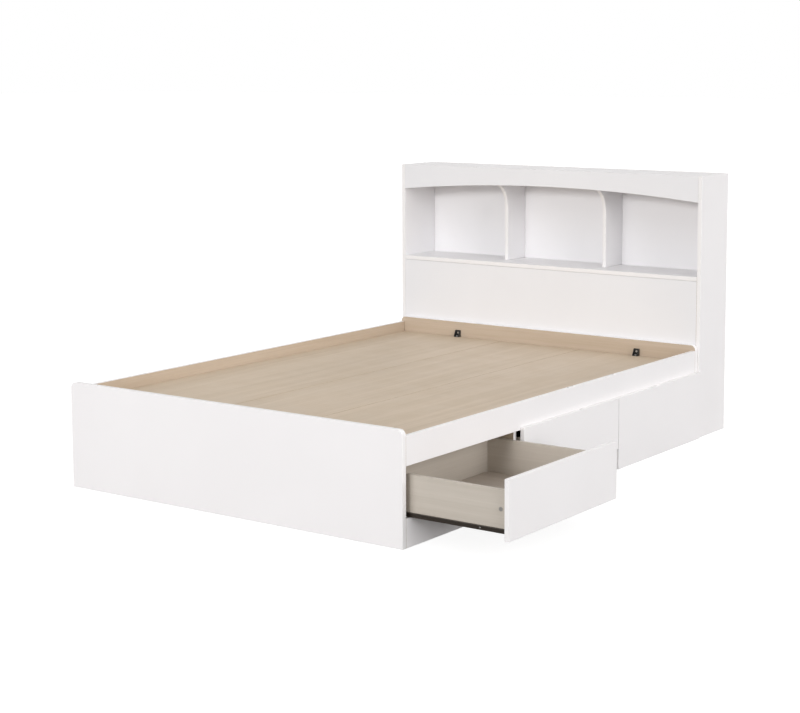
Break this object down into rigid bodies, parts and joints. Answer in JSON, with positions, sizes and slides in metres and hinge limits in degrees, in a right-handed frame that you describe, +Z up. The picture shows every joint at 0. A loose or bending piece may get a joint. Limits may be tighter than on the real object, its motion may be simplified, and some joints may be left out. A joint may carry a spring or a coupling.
{
  "type": "storage bed frame",
  "caption": "Wooden bed frame with a boarded platform, drawers along one side and a bookcase headboard with an arched valance over open cubbies.",
  "frame": {"origin": "on the floor, in the middle of the bed's width and of its whole length with the headboard, on the lower edge of the middle cross panel", "axes": "+Z up; +Y along the bed from the footboard to the headboard; +X across the bed towards the side with the drawers"},
  "size_m": [1.809, 2.178, 1.034],
  "materials": {
    "white_laminate": "white melamine on particleboard, satin",
    "birch_laminate": "pale wood-print melamine on particleboard, matt",
    "drawer_laminate": "grey-beige foil on particleboard, satin",
    "drawer_sheet": "foil-faced hardboard, satin",
    "slide_steel": "dark brown stoved enamel",
    "nylon": "moulded nylon",
    "black_plastic": "moulded, fine texture"
  },
  "bodies": {
    "bed": {"centre_cross_panel_foot": "birch_laminate", "centre_cross_panel_head": "birch_laminate", "centre_cross_panel_middle": "birch_laminate", "divider_head": "birch_laminate", "divider_middle": "birch_laminate", "drawer_foot_channel_foot": "slide_steel", "drawer_foot_channel_foot_shoe": "nylon", "drawer_foot_channel_head": "slide_steel", "drawer_foot_channel_head_shoe": "nylon", "drawer_head_channel_foot": "slide_steel", "drawer_head_channel_foot_shoe": "nylon", "drawer_head_channel_head": "slide_steel", "drawer_head_channel_head_shoe": "nylon", "far_cross_panel_foot": "birch_laminate", "far_cross_panel_head": "birch_laminate", "far_side_panel": "white_laminate", "footboard": "white_laminate", "head_bracket_far": "black_plastic", "head_bracket_near": "black_plastic", "head_end_panel": "birch_laminate", "headboard_back": "white_laminate", "headboard_divider_far": "white_laminate", "headboard_divider_near": "white_laminate", "headboard_lower_panel": "white_laminate", "headboard_shelf": "white_laminate", "headboard_side_far": "white_laminate", "headboard_side_near": "white_laminate", "headboard_stretcher": "birch_laminate", "headboard_top": "white_laminate", "headboard_valance": "white_laminate", "ledger_far": "birch_laminate", "ledger_near": "birch_laminate", "platform_board_far": "birch_laminate", "platform_board_middle": "birch_laminate", "platform_board_near": "birch_laminate", "side_bottom_rail": "white_laminate", "side_end_panel": "white_laminate", "side_top_rail": "white_laminate", "slide_batten_foot": "birch_laminate", "spine_far": "birch_laminate", "spine_near": "birch_laminate"},
    "foot_drawer": {"drawer_foot_back": "drawer_laminate", "drawer_foot_bottom": "drawer_sheet", "drawer_foot_front": "white_laminate", "drawer_foot_runner_foot": "slide_steel", "drawer_foot_runner_foot_shoe": "nylon", "drawer_foot_runner_head": "slide_steel", "drawer_foot_runner_head_shoe": "nylon", "drawer_foot_side_foot": "drawer_laminate", "drawer_foot_side_head": "drawer_laminate"},
    "head_drawer": {"drawer_head_back": "drawer_laminate", "drawer_head_bottom": "drawer_sheet", "drawer_head_front": "white_laminate", "drawer_head_runner_foot": "slide_steel", "drawer_head_runner_foot_shoe": "nylon", "drawer_head_runner_head": "slide_steel", "drawer_head_runner_head_shoe": "nylon", "drawer_head_side_foot": "drawer_laminate", "drawer_head_side_head": "drawer_laminate"}
  },
  "joints": [
    {"name": "foot_drawer_slide", "type": "slide", "parent": "bed", "child": "foot_drawer", "axis": [1, 0, 0], "range_m": [-0.3545, 0.0055]},
    {"name": "head_drawer_slide", "type": "slide", "parent": "bed", "child": "head_drawer", "axis": [1, 0, 0], "range_m": [0, 0.36]}
  ]
}
